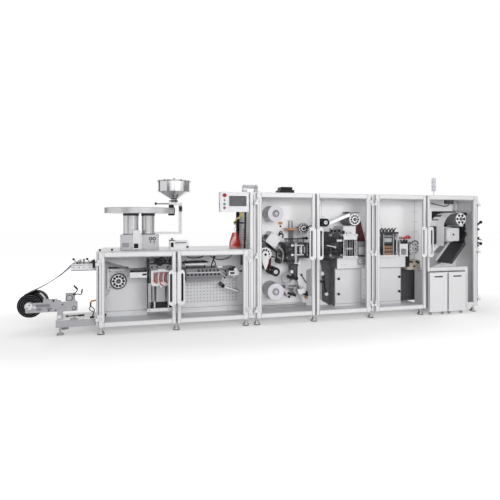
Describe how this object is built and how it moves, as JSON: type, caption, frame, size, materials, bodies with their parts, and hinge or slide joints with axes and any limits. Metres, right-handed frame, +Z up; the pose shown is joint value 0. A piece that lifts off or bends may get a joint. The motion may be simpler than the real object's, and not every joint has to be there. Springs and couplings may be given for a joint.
{
  "type": "blister packing machine",
  "caption": "Long blister packing machine: low forming section with disc feeder and hopper, tall glazed sealing and punching section, film unwinder and roll-out waste bins.",
  "frame": {"origin": "floor level under the middle of the machine's overall box", "axes": "+X along the film's run, towards the waste bins; +Y to the rear; +Z up"},
  "size_m": [6.096, 0.849, 1.916],
  "materials": {
    "white_paint": "satin",
    "plate_grey": "satin",
    "brushed_steel": "brushed",
    "dark_metal": "matte",
    "black_plastic": "matte",
    "rubber_black": "matte",
    "red_plastic": "gloss",
    "clear_pane": "clear",
    "film": "gloss",
    "film_black": "gloss",
    "foil": "satin"
  },
  "bodies": {
    "machine": {"base_rails": "plate_grey", "levelling_feet": "dark_metal", "floor_pans": "brushed_steel", "frame_posts": "white_paint", "hinge_brackets": "white_paint", "mounting_plates": "plate_grey", "rear_housings": "white_paint", "rear_panels": "white_paint", "end_panels": "white_paint", "roof_panel": "white_paint", "table_top": "brushed_steel", "feeder_base": "brushed_steel", "feeder_disc": "brushed_steel", "hopper": "brushed_steel", "hopper_lid": "brushed_steel", "hopper_stand": "brushed_steel", "brush_box": "brushed_steel", "operator_console": "brushed_steel", "roof_vent": "black_plastic", "signal_beacon": "white_paint", "air_hose": "red_plastic", "cable_conduit": "rubber_black", "unwinder_beam": "plate_grey", "unwinder_arm": "brushed_steel", "splice_table": "brushed_steel", "film_web": "film", "roll_shafts": "brushed_steel", "guide_wheels": "dark_metal", "wheel_guard": "white_paint", "forming_station": "dark_metal", "cooling_rail": "dark_metal", "perforated_panel": "brushed_steel", "web_guides": "brushed_steel", "sealing_station": "dark_metal", "station_cabinets": "white_paint", "coding_station": "dark_metal", "punch_station": "brushed_steel", "trim_station": "white_paint", "discharge_unit": "plate_grey", "discharge_chute": "rubber_black", "end_levers": "brushed_steel"},
    "door_1": {"door_1_frame": "white_paint", "door_1_glass": "clear_pane"},
    "door_2": {"door_2_frame": "white_paint", "door_2_glass": "clear_pane"},
    "door_3": {"door_3_frame": "white_paint", "door_3_glass": "clear_pane"},
    "door_4": {"door_4_frame": "white_paint", "door_4_glass": "clear_pane"},
    "door_5": {"door_5_frame": "white_paint", "door_5_glass": "clear_pane"},
    "door_6": {"door_6_frame": "white_paint", "door_6_glass": "clear_pane"},
    "film_reel": {"film_roll": "film_black"},
    "upper_foil_reel": {"upper_foil_roll": "foil"},
    "lower_foil_reel": {"lower_foil_roll": "foil"},
    "bin_1": {"waste_bin_1": "white_paint"},
    "bin_2": {"waste_bin_2": "white_paint"}
  },
  "joints": [
    {"name": "door_1_hinge", "type": "hinge", "parent": "machine", "child": "door_1", "pos_m": [-2.186, -0.4015, 0.09], "axis": [0, 0, -1], "range_deg": [0, 90]},
    {"name": "door_2_hinge", "type": "hinge", "parent": "machine", "child": "door_2", "pos_m": [-0.466, -0.4015, 0.09], "axis": [0, 0, 1], "range_deg": [0, 90]},
    {"name": "door_3_hinge", "type": "hinge", "parent": "machine", "child": "door_3", "pos_m": [-0.366, -0.4015, 0.09], "axis": [0, 0, -1], "range_deg": [0, 90]},
    {"name": "door_4_hinge", "type": "hinge", "parent": "machine", "child": "door_4", "pos_m": [1.182, -0.4015, 0.09], "axis": [0, 0, 1], "range_deg": [0, 90]},
    {"name": "door_5_hinge", "type": "hinge", "parent": "machine", "child": "door_5", "pos_m": [1.242, -0.4015, 0.09], "axis": [0, 0, -1], "range_deg": [0, 90]},
    {"name": "door_6_hinge", "type": "hinge", "parent": "machine", "child": "door_6", "pos_m": [2.838, -0.4015, 0.09], "axis": [0, 0, 1], "range_deg": [0, 90]},
    {"name": "film_reel_spin", "type": "hinge", "parent": "machine", "child": "film_reel", "pos_m": [-2.916, -0.1095, 0.342], "axis": [0, 1, 0], "continuous": true},
    {"name": "upper_foil_reel_spin", "type": "hinge", "parent": "machine", "child": "upper_foil_reel", "pos_m": [-0.078, -0.1095, 1.37239], "axis": [0, 1, 0], "continuous": true},
    {"name": "lower_foil_reel_spin", "type": "hinge", "parent": "machine", "child": "lower_foil_reel", "pos_m": [-0.078, -0.1095, 0.378], "axis": [0, 1, 0], "continuous": true},
    {"name": "bin_1_roll_out", "type": "slide", "parent": "machine", "child": "bin_1", "axis": [0, -1, 0], "range_m": [0, 0.5]},
    {"name": "bin_2_roll_out", "type": "slide", "parent": "machine", "child": "bin_2", "axis": [0, -1, 0], "range_m": [0, 0.5]}
  ]
}
